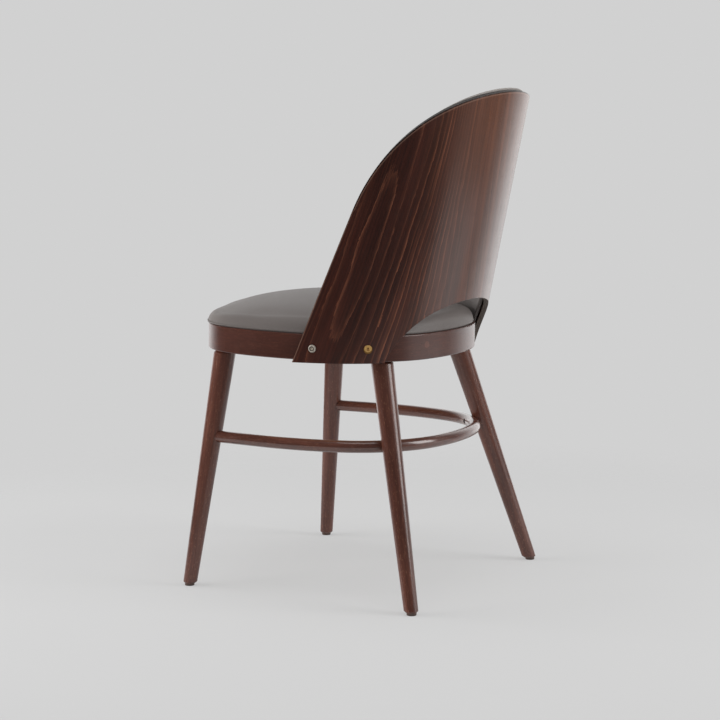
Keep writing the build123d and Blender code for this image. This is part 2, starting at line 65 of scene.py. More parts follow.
def addCamera():
    yaw, pitch = camera["yaw"], camera["pitch"]
    heading = (np.cos(pitch) * np.cos(yaw), np.cos(pitch) * np.sin(yaw), np.sin(pitch))
    data = bpy.data.cameras.new("camera")
    data.lens = camera["lens"]
    data.sensor_width = camera["sensor"]
    viewer = bpy.data.objects.new("camera", data)
    viewer.location = camera["at"]
    viewer.rotation_euler = facingAlong(Vector(heading))
    scene.collection.objects.link(viewer)
    scene.camera = viewer


def addLamp(name, at, target, size, watts, mirrored):
    data = bpy.data.lights.new(name, "AREA")
    data.shape = "RECTANGLE"
    data.size, data.size_y = size
    data.energy = watts
    lamp = bpy.data.objects.new(name, data)
    lamp.location = at
    lamp.rotation_euler = facingAlong(Vector(target) - Vector(at))
    lamp.visible_camera, lamp.visible_glossy = False, mirrored
    scene.collection.objects.link(lamp)


addCamera()
for lampName, setting in lamps.items():
    addLamp(lampName, *setting)
print("camera and lamps set")


# shader maths as expressions on wrapped sockets

class Wire:
    def __init__(self, tree, socket=None):
        self.tree, self.socket = tree, socket

    def node(self, kind, settings=None, inputs=None, out=0):
        made = self.tree.nodes.new(kind)
        for key, value in (settings or {}).items():
            setattr(made, key, value)
        for key, value in (inputs or {}).items():
            if isinstance(value, Wire):
                self.tree.links.new(value.socket, made.inputs[key])
            else:
                made.inputs[key].default_value = value
        return Wire(self.tree, made.outputs[out])

    def calc(self, operation, first, second=0.0):
        return self.node("ShaderNodeMath", {"operation": operation}, {0: first, 1: second})

    def __add__(self, other):
        return self.calc("ADD", self, other)

    def __sub__(self, other):
        return self.calc("SUBTRACT", self, other)

    def __rsub__(self, other):
        return self.calc("SUBTRACT", other, self)

    def __mul__(self, other):
        return self.calc("MULTIPLY", self, other)

    def __truediv__(self, other):
        return self.calc("DIVIDE", self, other)

    def __pow__(self, other):
        return self.calc("POWER", self, other)

    def __abs__(self):
        return self.calc("ABSOLUTE", self)

    __radd__ = __add__
    __rmul__ = __mul__

    def fraction(self):
        return self.calc("FRACT", self)

    def step(self, low, high):
        # eased ramp from 0 at low to 1 at high
        return self.node("ShaderNodeMapRange", {"interpolation_type": "SMOOTHSTEP"},
                         {"Value": self, "From Min": low, "From Max": high})

    def split(self):
        owner = self.node("ShaderNodeSeparateXYZ", {}, {0: self}).socket.node
        return [Wire(self.tree, socket) for socket in owner.outputs]

    def noise(self, x, y, z, detail=2.0):
        place = self.node("ShaderNodeCombineXYZ", {}, {0: x, 1: y, 2: z})
        return self.node("ShaderNodeTexNoise", {},
                         {"Vector": place, "Scale": 1.0, "Detail": detail, "Roughness": 0.5})

    def evenNoise(self, place, perMetre, detail=2.0):
        # the same scale along all three axes
        return self.noise(*[part * perMetre for part in place], detail)

    def tint(self, mask, first, second):
        return self.node("ShaderNodeMix", {"data_type": "RGBA", "blend_type": "MIX"},
                         {0: mask, 6: first, 7: second}, 2)

    def bump(self, height, strength, distance, normal=None):
        sockets = {"Strength": strength, "Distance": distance, "Height": height}
        if normal:
            sockets["Normal"] = normal
        return self.node("ShaderNodeBump", {}, sockets)

    def place(self):
        return self.node("ShaderNodeTexCoord", out="Object")

    def normal(self):
        return self.node("ShaderNodeNewGeometry", out="Normal")


def grey(level):
    return (level, level, level, 1.0)


def paint(hexText):
    # linear colour of a screen colour written as six hex digits
    screen = np.array([int(hexText[i:i + 2], 16) / 255 for i in (0, 2, 4)])
    linear = np.where(screen < 0.04045, screen / 12.92, ((screen + 0.055) / 1.055) ** 2.4)
    return (*[float(v) for v in linear], 1.0)


def emptyTree(owner):
    owner.use_nodes = True
    owner.node_tree.nodes.clear()
    return owner.node_tree


def newFinish(name, recipe, fixed):
    material = bpy.data.materials.new(name)
    tree = emptyTree(material)
    output = tree.nodes.new("ShaderNodeOutputMaterial")
    shader = tree.nodes.new("ShaderNodeBsdfPrincipled")
    tree.links.new(shader.outputs[0], output.inputs[0])
    for key, value in fixed.items():
        shader.inputs[key].default_value = value
    for key, wire in recipe(Wire(tree)).items():
        tree.links.new(wire.socket, shader.inputs[key])
    return material


# studio: the camera sees a pale backdrop, matt surfaces get the fill,
# shiny ones mirror a dim near side and a bright far side

studio = {
    "backdrop": 0.638,
    "fill": 0.46,
    "nearGloss": 0.04,
    "farGloss": 1.45,
    "glossAxis": (-0.87, -0.48, -0.12),  # from the camera through the chair
    "glossRise": (0.35, 0.88),  # the mirror brightens over these cosines to that axis
    "glossEnd": (0.92, 0.99),   # and falls to the backdrop's level straight ahead
    "floorGrey": 0.61,
    "floorGlow": 0.62,          # share of plain backdrop grey in the floor the camera sees
    "floorReach": 1.6,
    "floorFade": (0.75, 1.45),  # floor melts into the backdrop between these radii
    "floorRings": 12,
    "floorSpokes": 72,
}


def addWorld():
    world = bpy.data.worlds.new("studio")
    scene.world = world
    tree = emptyTree(world)
    w = Wire(tree)
    path = w.node("ShaderNodeLightPath").socket.node.outputs
    seen = Wire(tree, path["Is Camera Ray"]) + Wire(tree, path["Is Transmission Ray"])
    shiny = Wire(tree, path["Is Glossy Ray"])
    x, y, z = w.node("ShaderNodeTexCoord", out="Generated").split()
    axisX, axisY, axisZ = studio["glossAxis"]
    ahead = x * axisX + y * axisY + z * axisZ
    near, far = grey(studio["nearGloss"]), grey(studio["farGloss"])
    mirror = w.tint(ahead.step(*studio["glossRise"]), near, far)
    mirror = w.tint(ahead.step(*studio["glossEnd"]), mirror, grey(studio["backdrop"]))
    colour = w.tint(shiny, grey(studio["fill"]), mirror)
    colour = w.tint(seen.step(0.0, 1.0), colour, grey(studio["backdrop"]))
    sky = w.node("ShaderNodeBackground", {}, {"Color": colour, "Strength": 1.0})
    output = tree.nodes.new("ShaderNodeOutputWorld")
    tree.links.new(sky.socket, output.inputs[0])


def addFloor():
    # flat disc whose paint thins out to nothing at its edge
    rings, spokes = studio["floorRings"], studio["floorSpokes"]
    radius = np.linspace(0.0, studio["floorReach"], rings + 1)[1:, None]
    angle = np.linspace(0.0, 2 * np.pi, spokes, endpoint=False)[None, :]
    points = np.stack([radius * np.cos(angle), radius * np.sin(angle), 0 * radius * angle], -1)
    points = np.vstack([[[0.0, 0.0, 0.0]], points.reshape(-1, 3)])
    index = 1 + np.arange(rings * spokes).reshape(rings, spokes)
    after = np.roll(index, -1, 1)
    quads = np.stack([index[:-1], index[1:], after[1:], after[:-1]], -1).reshape(-1, 4)
    hub = np.stack([0 * index[0], index[0], after[0]], -1)
    mesh = bpy.data.meshes.new("floor")
    mesh.from_pydata(points.tolist(), [], quads.tolist() + hub.tolist())
    floor = bpy.data.objects.new("floor", mesh)
    scene.collection.objects.link(floor)
    material = bpy.data.materials.new("floorPaint")
    tree = emptyTree(material)
    w = Wire(tree)
    x, y, z = w.place().split()
    fade = ((x * x + y * y) ** 0.5).step(*studio["floorFade"])
    matt = w.node("ShaderNodeBsdfDiffuse", {}, {"Color": grey(studio["floorGrey"])})
    glow = w.node("ShaderNodeEmission", {}, {"Color": grey(studio["backdrop"]), "Strength": 1.0})
    seen = w.node("ShaderNodeLightPath", out="Is Camera Ray")
    painted = w.node("ShaderNodeMixShader", {}, {0: seen * studio["floorGlow"], 1: matt, 2: glow})
    clear = w.node("ShaderNodeBsdfTransparent")
    mixed = w.node("ShaderNodeMixShader", {}, {0: fade, 1: painted, 2: clear})
    output = tree.nodes.new("ShaderNodeOutputMaterial")
    tree.links.new(mixed.socket, output.inputs[0])
    mesh.materials.append(material)


addWorld()
addFloor()
print("studio built")


# plans of the bent pieces: three tangent arcs a quarter, turn is the angle of the outward normal

bend = {
    "sideAngle": 16.0,  # turns at which the side arc meets the corner arc
    "endAngle": 76.0,   # and the corner arc meets the end arc
    "seatMiddleY": -0.050,
    "seatZ": 0.395,
    "rake": 1.25,
    "ringHeight": 0.0425,
}


def quarterArcs(halfWidth, reach, cornerRadius):
    # the side and end radii follow from the half width, the reach and the corner's radius
    a, b = np.radians(bend["sideAngle"]), np.radians(bend["endAngle"])
    sideX, sideY = 1 - np.cos(a), np.sin(a)
    endX, endY = np.cos(b), 1 - np.sin(b)
    widthLeft = halfWidth - cornerRadius * (np.cos(a) - np.cos(b))
    reachLeft = reach - cornerRadius * (np.sin(b) - np.sin(a))
    scale = sideX * endY - endX * sideY
    radii = np.array([(widthLeft * endY - endX * reachLeft) / scale, cornerRadius,
                      (sideX * reachLeft - sideY * widthLeft) / scale])
    first = np.array([halfWidth - radii[0], 0.0])
    second = first + (radii[0] - radii[1]) * np.array([np.cos(a), np.sin(a)])
    third = second + (radii[1] - radii[2]) * np.array([np.cos(b), np.sin(b)])
    return radii, np.array([first, second, third])


def quarterPoint(arcs, turn, inset=0.0):
    # arc centre plus (radius less inset) along the normal, for turns of 0 to 90 degrees
    radii, centres = arcs
    which = (turn > bend["sideAngle"]).astype(int) + (turn > bend["endAngle"])
    normal = np.stack([np.cos(np.radians(turn)), np.sin(np.radians(turn))], -1)
    return centres[which] + (radii[which] - inset)[..., None] * normal


def quarterFold(turn):
    # turns past 90 degrees mirror those before it
    return np.where(turn > 90.0, 180.0 - turn, turn)


def runningLength(track):
    return np.concatenate([[0.0], np.cumsum(np.linalg.norm(np.diff(track, axis=0), axis=1))])


shell = {
    "bottomZ": 0.391, "topZ": 0.826,
    "ringHalfWidth": 0.224, "ringReach": 0.2545, "ringCorner": 0.170, "ringWidestY": -0.048,
    "offset": 0.009,      # outer face outside the ring's plan at the foot
    "topHalfWidth": 0.2348, "topReach": 0.2796, "topCorner": 0.2140, "topWidestY": 0.0341,
    "frontY": 0.0235, "lean": 23.1, "straightZ": 0.638,  # side edge: foot, lean, where the arc starts
    "archHalfWidth": 0.171, "archRise": 0.1355, "archCorner": 0.105, "archBaseZ": 0.350,
}


def shellPoint(turn, z):
    # point and normal of the shell's outer face:
    # straight rulings at equal turn between the ring's plan and the crest's plan
    s = shell
    folded = quarterFold(turn)
    ringArcs = quarterArcs(s["ringHalfWidth"], s["ringReach"], s["ringCorner"])
    crestArcs = quarterArcs(s["topHalfWidth"], s["topReach"], s["topCorner"])
    base = quarterPoint(ringArcs, folded, -s["offset"])
    base = base + np.array([0.0, bend["seatMiddleY"] + s["ringWidestY"]])
    crest = quarterPoint(crestArcs, folded)
    crest = crest + np.array([0.0, bend["seatMiddleY"] + s["topWidestY"]])
    tall = s["topZ"] - s["bottomZ"]
    share = ((z - s["bottomZ"]) / tall)[..., None]
    point = np.concatenate([base + (crest - base) * share, z[..., None]], -1)
    ruling = np.concatenate([crest - base, np.full_like(share, tall)], -1)
    angle = np.radians(folded)
    along = np.stack([-np.sin(angle), np.cos(angle), np.zeros_like(angle)], -1)
    normal = np.cross(along, ruling)
    normal = normal / np.linalg.norm(normal, axis=-1)[..., None]
    way = np.where(turn > 90.0, -1.0, 1.0)
    point[..., 0] *= way
    normal[..., 0] *= way
    return point, normal


def rimLines(margin=0.0, topMargin=0.0):
    # side view of the shell's edge: foot and slope of the leaning line,
    # middle and radius of the arc, height where they join
    s = shell
    lean = np.radians(s["lean"])
    front = bend["seatMiddleY"] + s["frontY"]
    foot = front + margin / np.cos(lean)
    topRear = shellPoint(np.array([90.0]), np.array([s["topZ"]]))[0][0]
    joinY = front + (s["straightZ"] - s["bottomZ"]) * np.tan(lean) + margin * np.cos(lean)
    joinZ = s["straightZ"] - margin * np.sin(lean)
    chordY, chordZ = topRear[1] - joinY, topRear[2] - topMargin - joinZ
    forward = chordY * np.sin(lean) + chordZ * np.cos(lean)
    sideways = chordY * np.cos(lean) - chordZ * np.sin(lean)
    radius = (forward ** 2 + sideways ** 2) / (2 * sideways)
    middle = (float(joinY + radius * np.cos(lean)), float(joinZ - radius * np.sin(lean)))
    return float(foot), float(np.tan(lean)), middle, float(radius), float(joinZ)


def rimY(z, margin, topMargin):
    # the edge's y at a height, far behind the chair above the arc
    farBehind = 9.0
    foot, slope, middle, radius, joinZ = rimLines(margin, topMargin)
    inside = radius ** 2 - (z - middle[1]) ** 2
    arcY = np.where(inside > 0, middle[0] - np.sqrt(np.maximum(inside, 0.0)), farBehind)
    return np.where(z < joinZ, foot + (z - shell["bottomZ"]) * slope, arcY)


# finishes

veneer = {
    "dark": paint("2b0f08"),
    "mid": paint("4e2012"),
    "line": paint("8e5338"),
    "pore": paint("1c0d09"),
    "pale": paint("85573f"),     # painted light on the middle of the back
    "paintedArrisHighlight": paint("a58472"),     # painted highlight of the rim's arris, a thin light line inside the rim
    "edge": paint("20140f"),     # cut edge of the plies above
    "archEdge": paint("62574f"),  # and round the arch
    "archTop": (0.48, 0.53),
    "rimDark": 0.0016, "rimLight": 0.0013,  # widths of the rim's dark round and of its painted highlight line
    "middleZ": 0.6, "axisBack": 0.02, "radius": 0.232,  # bend the grain is measured round
    "faceBack": 0.03,
    "lean": 0.20,                # sheet leans back by this much of its height
    "fan": (0.22, 0.10),         # extra lean of the grain lines, and where round the back it is nil
    "ovalAt": (0.234, 0.564),    # middle of the oval figure on the near wing
    "ovalSlim": 0.144,
    "ovalCore": (0.018, 0.036),  # its plain heart ends between these reaches
    "tipFade": 0.62,             # how much the ring lines pale at the two tips of the oval
    "linesPerMetre": 52.0, "start": 0.56,
    "calm": (0.05, 0.15),        # way round the back over which the lines grow to full strength
    "closeLines": (0.135, 0.035, 3.6),  # where the lines crowd, over what width, how many more
    "bevel": 0.0016,
}
veneerNoise = {  # per metre across the grain, per metre up, seed, detail
    "sway": (7, 3.0, 0.0, 2.0),
    "drift": (42, 4.5, 4.0, 3.0),
    "feather": (460, 15, 3.0, 2.0),
    "ragged": (120, 75, 9.0, 2.0),
    "patchy": (30, 5.0, 7.0, 2.0),
    "fine": (150, 1.6, 21.0, 2.0),
    "cloud": (22, 2.6, 11.0, 3.0),
    "streak": (330, 9, 2.0, 3.0),
    "pore": (1100, 34, 5.0, 2.0),
    "broad": (55, 1.3, 31.0, 2.0),
}


def veneerFinish(w):
    # grain coordinate: way round the back from its middle, leaned back and fanned with the height
    v = veneer
    x, y, z = w.place().split()
    rise = z - v["middleZ"]
    way = w.calc("ARCTAN2", x, y - v["lean"] * rise + v["axisBack"]) * v["radius"]
    fan, still = v["fan"]
    off = way - still
    across = way + fan * rise * off / (off * off + 0.01) ** 0.5

    def fibre(name, at=across):
        perAcross, perUp, seed, detail = veneerNoise[name]
        return w.noise(at * perAcross, z * perUp, seed, detail)

    sway, drift = fibre("sway") - 0.5, fibre("drift") - 0.5
    feather, ragged = fibre("feather") - 0.5, fibre("ragged") - 0.5
    # ring lines: nested ovals on the near wing that run out into straight lines
    ovalX = across - v["ovalAt"][0] + sway * 0.035
    ovalZ = (z - v["ovalAt"][1]) * v["ovalSlim"]
    reach = (ovalX * ovalX + ovalZ * ovalZ) ** 0.5 + drift * 0.014
    spot, width, more = v["closeLines"]
    crowd = w.calc("TANH", (across + sway * 0.02 - spot) / width) * -more
    rings = reach * v["linesPerMetre"] + crowd + feather * 0.34 + ragged * 0.16 + v["start"]
    phase = rings.fraction()
    chance = w.node("ShaderNodeTexWhiteNoise", {"noise_dimensions": "1D"},
                    {"W": w.calc("FLOOR", rings)})
    patchy = fibre("patchy").step(0.30, 0.60)
    figure = 1 - reach.step(*v["ovalCore"])
    strength = w.calc("MAXIMUM", (0.35 + 0.65 * chance) * patchy, figure * (0.30 + 0.45 * patchy))
    lively = 0.30 + 0.70 * way.step(*v["calm"])
    faint = 1 - v["tipFade"] * figure * (abs(ovalZ) / reach).step(0.78, 0.97)
    sharp = (phase ** 10) * (0.12 + 0.88 * strength)
    shaded = 0.16 * phase * phase * chance * (1 - 0.7 * figure)
    fine = fibre("fine", across + sway * 0.03).step(0.56, 0.72)
    line = (sharp + shaded) * lively * faint + 0.22 * fine * patchy
    cloud = fibre("cloud").step(0.3, 0.75)
    streak = fibre("streak").step(0.35, 0.7)
    pore = fibre("pore").step(0.55, 0.70)
    broad = fibre("broad").step(0.45, 0.7) * (1 - lively)
    # painted light: the middle of the back is lightened, more towards the top and in broad random
    # patches
    paintedBackLight = 0.13 + 0.22 * z.step(0.58, 0.80) + 0.22 * broad
    colour = w.tint(cloud * 0.45 + streak * 0.4 + broad * 0.7, v["dark"], v["mid"])
    colour = w.tint((1 - way.step(0.06, 0.20)) * paintedBackLight, colour, v["pale"])
    colour = w.tint(line, colour, v["line"])
    colour = w.tint(pore * 0.35, colour, v["pore"])
    # distance in from the rim: to its leaning line below, to its arc above
    lineFoot, slope, middle, radius, joinZ = rimLines()
    fromLine = (y - lineFoot - (z - shell["bottomZ"]) * slope) / (1 + slope * slope) ** 0.5
    dy, dz = y - middle[0], z - middle[1]
    fromArc = radius - (dy * dy + dz * dz) ** 0.5
    upper = z.step(joinZ - 0.002, joinZ + 0.002)
    fromRim = fromLine + (fromArc - fromLine) * upper
    dark = v["rimDark"] * upper
    light = dark + v["rimLight"]
    # painted highlight: a thin light line just inside the rim where its arris catches the light
    paintedArrisHighlight = fromRim.step(dark, dark + 0.0006) * (1 - fromRim.step(light, light + 0.0008))
    rimmed = (1 - fromRim.step(v["rimDark"] - 0.0006, v["rimDark"])) * upper
    colour = w.tint(paintedArrisHighlight * 0.30, colour, v["paintedArrisHighlight"])
    colour = w.tint(rimmed * 0.85, colour, v["edge"])
    # cut edges are told from the faces by their normal
    nx, ny, nz = w.normal().split()
    behind = y + v["faceBack"]
    outward = (nx * x + ny * behind) / ((x * x + behind * behind) ** 0.5 + 0.001)
    face = abs(outward).step(0.45, 0.7)
    grainy = w.evenNoise((x, y, z), 900)
    cut = w.tint(z.step(*v["archTop"]), v["archEdge"], v["edge"])
    colour = w.tint(face, w.tint(0.4 * grainy, cut, v["pore"]), colour)
    rough = 0.56 - 0.23 * face + 0.10 * pore + 0.05 * cloud
    soft = w.node("ShaderNodeBevel", {"samples": 4}, {"Radius": v["bevel"]})
    return {"Base Color": colour, "Roughness": rough, "Coat Weight": face * 0.5,
            "Normal": w.bump(1 - pore + 0.3 * line, 0.10, 0.0004, soft)}


# darker copy of the beech for the ring, painted shade
shadedRingBeech = {
    "dark": paint("3b1f18"),
    "mid": paint("542d22"),
    "fleck": paint("8e604b"), "fleckShare": 0.2,
    "pore": paint("28150f"),
    "plug": paint("7d4c3a"),  # filled hole either side
    "plugAt": (0.0859, 0.1457, 0.4150), "plugRadius": 0.0055, "plugShare": 0.35,
}
# lighter copy of the same beech for the legs and bar, painted light
litLegBeech = {
    "dark": paint("48271e"),
    "mid": paint("6b3e30"),
    "fleck": paint("a67760"), "fleckShare": 0.5,
    "pore": paint("2c1811"),
}


def beechFinish(w, beech, along, first, second):
    # along runs with the grain, first and second across it, all in metres
    def grain(perAcross, perAlong, detail):
        return w.noise(first * perAcross, second * perAcross, along * perAlong, detail)

    cloud = grain(30, 4, 3.0).step(0.3, 0.72)
    streak = grain(420, 16, 2.0).step(0.42, 0.72)
    fleck = grain(950, 190, 1.0).step(0.64, 0.74)
    pore = grain(1300, 90, 1.0).step(0.62, 0.74)
    colour = w.tint(cloud * 0.6 + streak * 0.4, beech["dark"], beech["mid"])
    colour = w.tint(fleck * beech["fleckShare"], colour, beech["fleck"])
    colour = w.tint(pore * 0.5, colour, beech["pore"])
    rough = 0.33 + 0.10 * pore + 0.05 * cloud
    return {"Base Color": colour, "Roughness": rough,
            "Normal": w.bump(1 - pore + 0.3 * fleck, 0.10, 0.0004)}


def turnedBeech(axis):
    # grain along a leg's own axis
    axis = np.array(axis) / np.linalg.norm(axis)
    first = np.cross(axis, (0.0, 1.0, 0.0))
    first = first / np.linalg.norm(first)
    second = np.cross(axis, first)

    def recipe(w):
        place = w.place()

        def along(direction):
            return w.node("ShaderNodeVectorMath", {"operation": "DOT_PRODUCT"},
                          {0: place, 1: tuple(float(v) for v in direction)}, 1)

        return beechFinish(w, litLegBeech, along(axis), along(first), along(second))

    return recipe


def bentBeech(beech, middleY, radius):
    # grain round a hoop about an upright axis
    def recipe(w):
        x, y, z = w.place().split()
        away = (x * x + (y - middleY) * (y - middleY)) ** 0.5
        along = w.calc("ARCTAN2", x, y - middleY) * radius
        sockets = beechFinish(w, beech, along, away, z)
        if "plug" in beech:
            plugX, plugY, plugZ = beech["plugAt"]
            dx, dy, dz = abs(x) - plugX, y - plugY, z - plugZ
            off = (dx * dx + dy * dy + dz * dz) ** 0.5
            mark = 1 - off.step(beech["plugRadius"] - 0.001, beech["plugRadius"] + 0.001)
            plain = sockets["Base Color"]
            sockets["Base Color"] = w.tint(mark * beech["plugShare"], plain, beech["plug"])
        return sockets

    return recipe


leather = {
    "dark": paint("625c59"),
    "light": paint("746d6a"),
    # colour of the painted shade in the grain's creases
    "creaseShade": paint("3c3937"),
    "rim": paint("8d8783"),   # painted highlight along the pad's top rim
    "grainSize": 0.0011,
}


def leatherFinish(w):
    place = w.place()
    axes = place.split()
    fine = w.node("ShaderNodeTexVoronoi", {"feature": "DISTANCE_TO_EDGE"},
                  {"Vector": place, "Scale": 1.0 / leather["grainSize"]})
    creaseShade = 1 - fine.step(0.02, 0.16)
    broad = w.evenNoise(axes, 9, 3.0)
    mottle = w.evenNoise(axes, 240)
    rim = w.node("ShaderNodeAttribute", {"attribute_name": "rim"}, out="Fac")
    colour = w.tint(broad * 0.6 + mottle * 0.4, leather["dark"], leather["light"])
    # painted shade darkens the grain's creases
    colour = w.tint(creaseShade * 0.25, colour, leather["creaseShade"])
    # painted highlight on the pad's rim, read from the rim attribute
    colour = w.tint(rim, colour, leather["rim"])
    rough = 0.46 + 0.10 * mottle + 0.08 * creaseShade
    return {"Base Color": colour, "Roughness": rough,
            "Normal": w.bump(fine.step(0.0, 0.3) + mottle * 0.4, 0.10, 0.0003)}


rawBeech = {"pale": paint("b58f68"), "deep": paint("96714e"), "pore": paint("6b4c33")}


def rawFinish(w):
    x, y, z = w.place().split()
    streak = w.noise(x * 30, y * 420, z * 420, 3.0)
    pore = w.noise(x * 110, y * 1300, z * 1300, 1.0).step(0.62, 0.74)
    colour = w.tint(streak, rawBeech["deep"], rawBeech["pale"])
    return {"Base Color": w.tint(pore * 0.4, colour, rawBeech["pore"]),
            "Roughness": 0.6 + 0.15 * streak, "Normal": w.bump(streak - pore, 0.1, 0.0004)}


boardPly = {
    "pale": paint("c2a178"),
    "deep": paint("a07c54"),
    "crossPly": paint("7d5c3c"),  # every second ply on the cut edge
    "ply": 0.0015,
    "ringsPerMetre": 26,
}


def plyFinish(w):
    x, y, z = w.place().split()
    sway = w.noise(x * 3, y * 10, z * 10)
    rings = (y * boardPly["ringsPerMetre"] + sway * 4).fraction()
    streak = w.noise(x * 20, y * 500, z * 300)
    colour = w.tint(rings.step(0.2, 0.95) * 0.5 + streak * 0.5, boardPly["pale"], boardPly["deep"])
    nx, ny, nz = w.normal().split()
    layer = (z * (0.5 / boardPly["ply"]) + y * 7.3).fraction().step(0.4, 0.6)
    cutEdge = 1 - abs(nz).step(0.5, 0.8)
    colour = w.tint(cutEdge * layer * 0.6, colour, boardPly["crossPly"])
    return {"Base Color": colour, "Roughness": 0.55 + 0.2 * streak,
            "Normal": w.bump(streak, 0.08, 0.0004)}


metal = {
    "tarnish": paint("5a5048"), "tarnishShare": 0.3,
    "wearPerMetre": 260,
    "recessShadeShare": 0.85, "recessShadeSoft": 0.0006,
    "rimDepth": 0.0012,   # how far below a screw's outermost point its face may lie
}
screwHeads = {  # node of the outermost face, its turn, radii between which painted shade lies in the head's recesses, that shade's colour
    "front": ("front_screw_cups", 12.6, ((0.0021, 0.0060),), paint("2e241d")),
    "rear": ("rear_shell_screws", 36.2, ((-0.001, 0.0014), (0.0060, 0.0090)), paint("6b4516")),
}


def positions(mesh):
    flat = np.empty(len(mesh.vertices) * 3)
    mesh.vertices.foreach_get("co", flat)
    return flat.reshape(-1, 3)


def screwFace(node, turn):
    # middle of the outermost face of a node's screws on the +X side, and its outward direction
    points = positions(nodes[node].data)
    out = np.array([np.cos(np.radians(turn)), np.sin(np.radians(turn)), 0.0])
    points = points[points[:, 0] > 0.0]
    height = points @ out
    rim = points[height > height.max() - metal["rimDepth"]]
    return [float(v) for v in (rim.min(0) + rim.max(0)) / 2], [float(v) for v in out]


def metalFinish(tone, rough, head=None):
    # dulled metal, with painted shade in rings round the axis of a screw's head, in its recesses
    def recipe(w):
        x, y, z = w.place().split()
        wear = w.evenNoise((x, y, z), metal["wearPerMetre"], 3.0)
        colour = w.tint(wear.step(0.35, 0.8) * metal["tarnishShare"], tone, metal["tarnish"])
        if head:
            node, turn, rings, shade = head
            middle, out = screwFace(node, turn)
            dx, dy, dz = abs(x) - middle[0], y - middle[1], z - middle[2]
            side = dx * -out[1] + dy * out[0]
            away = (side * side + dz * dz) ** 0.5
            soft = metal["recessShadeSoft"]
            # painted shade in the head's recesses
            for inner, outer in rings:
                recessShade = away.step(inner, inner + soft) * (1 - away.step(outer, outer + soft))
                colour = w.tint(recessShade * metal["recessShadeShare"], colour, shade)
        return {"Base Color": colour, "Roughness": rough + 0.16 * wear,
                "Normal": w.bump(wear, 0.04, 0.0002)}

    return recipe


def plasticFinish(tone):
    def recipe(w):
        speck = w.evenNoise(w.place().split(), 900)
        return {"Base Color": w.tint(speck * 0.3, tone, grey(0.10)),
                "Roughness": 0.4 + 0.15 * speck, "Normal": w.bump(speck, 0.06, 0.0002)}

    return recipe


def dress(node, finish):
    # the CAD solid keeps its mesh and gets the finish in every slot
    part = nodes[node]
    if not part.material_slots:
        part.data.materials.append(finish)
    for slot in part.material_slots:
        slot.material = finish


lacquer = {
    "shell": {"Coat Roughness": 0.22},
    "ring": {"Coat Weight": 0.5, "Coat Roughness": 0.25, "Specular IOR Level": 0.5},
    "bar": {"Coat Weight": 0.9, "Coat Roughness": 0.12, "Specular IOR Level": 0.6},
    "leg": {"Coat Weight": 0.5, "Coat Roughness": 0.16, "Specular IOR Level": 0.5},
}
legLean = {"front": (0.0447, -0.0462), "rear": (0.090, 0.103)}  # out and back over the rise
legRise = 0.42
plated = {"Metallic": 0.4}

dress("back_shell", newFinish("stainedVeneer", veneerFinish, lacquer["shell"]))
dress("seat_ring", newFinish("bentBeechRing", bentBeech(shadedRingBeech, -0.06, 0.21), lacquer["ring"]))
dress("stretcher", newFinish("bentBeechBar", bentBeech(litLegBeech, -0.02, 0.20), lacquer["bar"]))
rawWood = newFinish("rawBeech", rawFinish, {})
glidePlastic = newFinish("glidePlastic", plasticFinish(paint("4d382e")), {})
for end, (outward, onward) in legLean.items():
    for hand, side in (("left", 1), ("right", -1)):
        axis = (-side * outward, -onward, legRise)
        legFinish = newFinish(f"{end}{hand}LegBeech", turnedBeech(axis), lacquer["leg"])
        dress(f"{end}_{hand}_leg", legFinish)
        dress(f"{end}_{hand}_block", rawWood)
        dress(f"{end}_{hand}_glide", glidePlastic)
dress("seat_board", newFinish("boardPly", plyFinish, {}))
steel = newFinish("zincSteel", metalFinish(paint("a8a8a6"), 0.32), {"Metallic": 0.9})
nickel = newFinish("nickel", metalFinish(paint("e6ddd0"), 0.28), plated)
frontHead = metalFinish(paint("e2d6c6"), 0.30, screwHeads["front"])
screwNickel = newFinish("screwNickel", frontHead, plated)
rearHead = metalFinish(paint("d6a964"), 0.34, screwHeads["rear"])
brass = newFinish("brass", rearHead, plated)
for node in ("stretcher_screws", "seat_screws", "shell_inserts"):
    dress(node, steel)
dress("front_screw_cups", nickel)
dress("front_shell_screws", screwNickel)
dress("rear_shell_screws", brass)
dress("rear_shell_spacers", newFinish("spacerPlastic", plasticFinish(paint("39332e")), {}))
leatherette = newFinish("greyLeatherette", leatherFinish, {"Specular IOR Level": 0.45})
print("finishes made")


# soft pieces

stuffing = {
    "frames": 20,
    "quality": 6,
    "mass": 0.3,
    "stretch": 14.0,
    "bending": 1.5,
    "weldReach": 0.00002,
    "sliver": 0.00001,
}


def gridMesh(name, points):
    # quads between the rows and columns of a grid; the columns close into loops
    rows, columns = points.shape[:2]
    index = np.arange(rows * columns).reshape(rows, columns)
    after = np.roll(index, -1, 1)
    quads = np.stack([index[:-1], after[:-1], after[1:], index[1:]], -1).reshape(-1, 4)
    mesh = bpy.data.meshes.new(name)
    mesh.from_pydata(points.reshape(-1, 3).tolist(), [], quads.tolist())
    return mesh


def keep(mesh, name, values):
    # a number for each point, carried through welding
    column = mesh.attributes.new(name, "FLOAT", "POINT")
    column.data.foreach_set("value", values.ravel().astype(np.float32))


def recall(mesh, name):
    values = np.empty(len(mesh.vertices), np.float32)
    mesh.attributes[name].data.foreach_get("value", values)
    mesh.attributes.remove(mesh.attributes[name])
    return values.astype(float)


def weld(mesh):
    # merges the coincident points of poles and closed ends and turns the faces outwards
    work = bmesh.new()
    work.from_mesh(mesh)
    bmesh.ops.remove_doubles(work, verts=work.verts, dist=stuffing["weldReach"])
    bmesh.ops.dissolve_degenerate(work, edges=work.edges, dist=stuffing["sliver"])
    bmesh.ops.recalc_face_normals(work, faces=work.faces)
    work.to_mesh(mesh)
    work.free()


